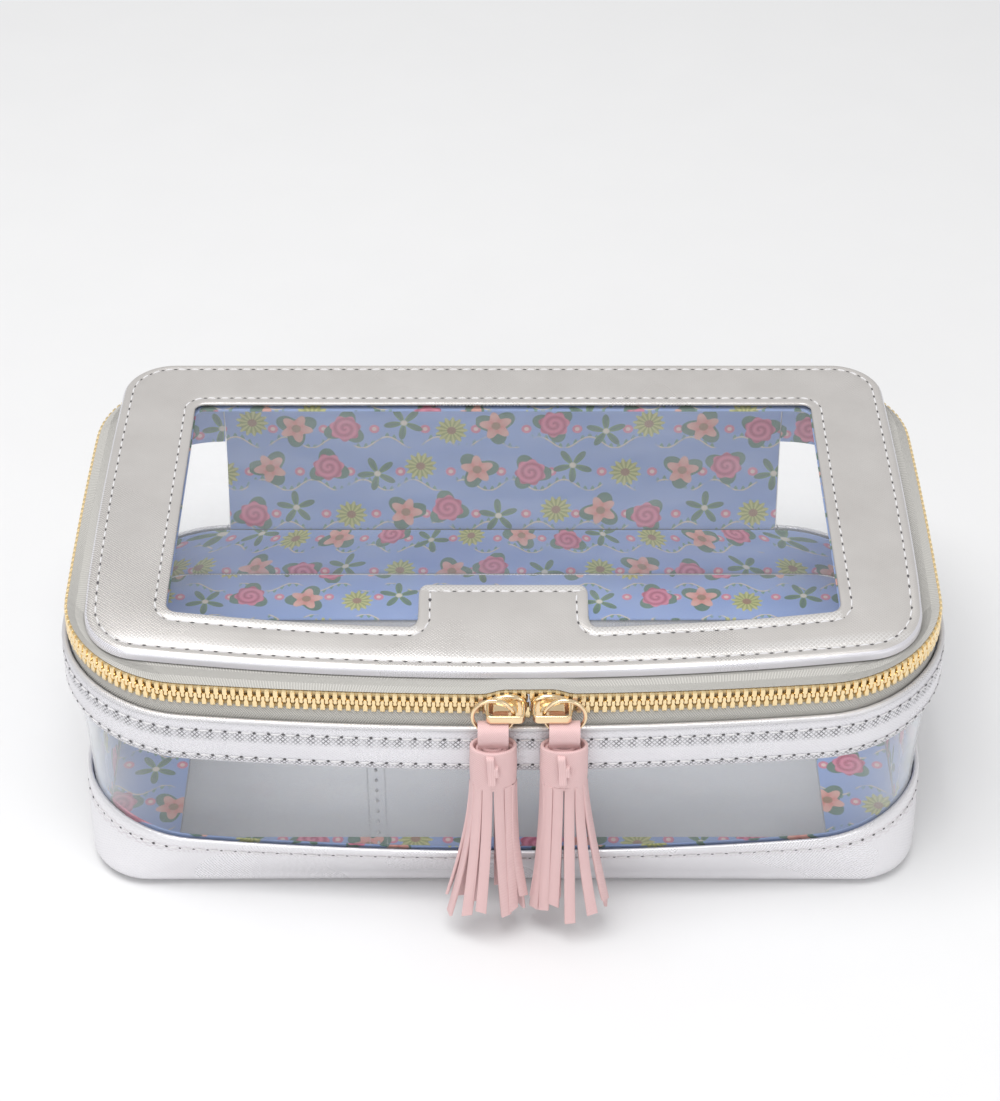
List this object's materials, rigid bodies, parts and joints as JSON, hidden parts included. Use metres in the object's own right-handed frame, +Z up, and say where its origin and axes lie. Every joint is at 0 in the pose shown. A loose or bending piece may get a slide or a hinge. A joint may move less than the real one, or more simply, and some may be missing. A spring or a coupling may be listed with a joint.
{
  "type": "clear zip bag",
  "caption": "Rectangular soft case with clear walls, windowed zip lid, printed lining and tasselled zip pulls, for storing game tiles.",
  "frame": {"origin": "under the middle of the whole bag on the surface it stands on, tassels included", "axes": "+X along the long side to the right seen from the front, -Y towards the front with the zip pulls, +Z up"},
  "size_m": [0.2716, 0.1844, 0.0968],
  "materials": {
    "silver_leatherette": "satin metallic grain",
    "clear_sheet": "clear flexible sheet",
    "printed_lining": "printed fabric",
    "zip_tape": "herringbone weave",
    "brass_teeth": "polished",
    "pale_gold": "plated, glossy",
    "pink_leatherette": "grained"
  },
  "bodies": {
    "case": {"upper_band": "silver_leatherette", "upper_band_rolled_edge": "silver_leatherette", "upper_lining": "printed_lining", "clear_wall": "clear_sheet", "lower_band": "silver_leatherette", "lower_lining": "printed_lining", "base_panel": "silver_leatherette", "base_window": "clear_sheet", "base_lining": "printed_lining", "back_panel": "silver_leatherette", "back_lining": "printed_lining", "case_zip_tape": "zip_tape", "case_zip_teeth": "brass_teeth", "zip_stop_left": "brass_teeth", "zip_stop_right": "brass_teeth"},
    "lid": {"lid_frame": "silver_leatherette", "lid_window": "clear_sheet", "lid_lining": "printed_lining", "lid_edge_binding": "printed_lining", "lid_back_skirt": "silver_leatherette", "lid_zip_tape": "zip_tape", "lid_zip_teeth": "brass_teeth"},
    "slider_left": {"slider_left": "pale_gold", "slider_bail_left": "pale_gold"},
    "ring_left": {"pull_ring_left": "pale_gold"},
    "tassel_left": {"tassel_loop_left": "pink_leatherette", "tassel_left": "pink_leatherette", "tassel_tie_left": "pink_leatherette"},
    "slider_right": {"slider_right": "pale_gold", "slider_bail_right": "pale_gold"},
    "ring_right": {"pull_ring_right": "pale_gold"},
    "tassel_right": {"tassel_loop_right": "pink_leatherette", "tassel_right": "pink_leatherette", "tassel_tie_right": "pink_leatherette"}
  },
  "joints": [
    {"name": "lid_hinge", "type": "hinge", "parent": "case", "child": "lid", "pos_m": [0, 0.09168, 0.084], "axis": [-1, 0, 0], "range_deg": [0, 180], "deforming": ["lid_zip_tape", "lid_zip_teeth", "case_zip_tape", "case_zip_teeth", "lid_back_skirt"]},
    {"name": "slider_left_run", "type": "hinge", "parent": "case", "child": "slider_left", "pos_m": [0, 0.87827, 0.084], "axis": [0, 0, -1], "range_deg": [0, 5.2]},
    {"name": "ring_left_turn", "type": "hinge", "parent": "slider_left", "child": "ring_left", "pos_m": [-0.003, -0.08302, 0.0854], "axis": [0, 1, 0], "range_deg": [0, 20]},
    {"name": "tassel_left_swing", "type": "hinge", "parent": "ring_left", "child": "tassel_left", "pos_m": [-0.003, -0.08302, 0.0794], "axis": [-1, 0, 0], "range_deg": [0, 70]},
    {"name": "slider_right_run", "type": "hinge", "parent": "case", "child": "slider_right", "pos_m": [0, 0.87827, 0.084], "axis": [0, 0, 1], "range_deg": [0, 4.8]},
    {"name": "ring_right_turn", "type": "hinge", "parent": "slider_right", "child": "ring_right", "pos_m": [0.0178, -0.08291, 0.0854], "axis": [0, -1, 0], "range_deg": [0, 20]},
    {"name": "tassel_right_swing", "type": "hinge", "parent": "ring_right", "child": "tassel_right", "pos_m": [0.0178, -0.08291, 0.0794], "axis": [-1, 0, 0], "range_deg": [0, 70]}
  ]
}
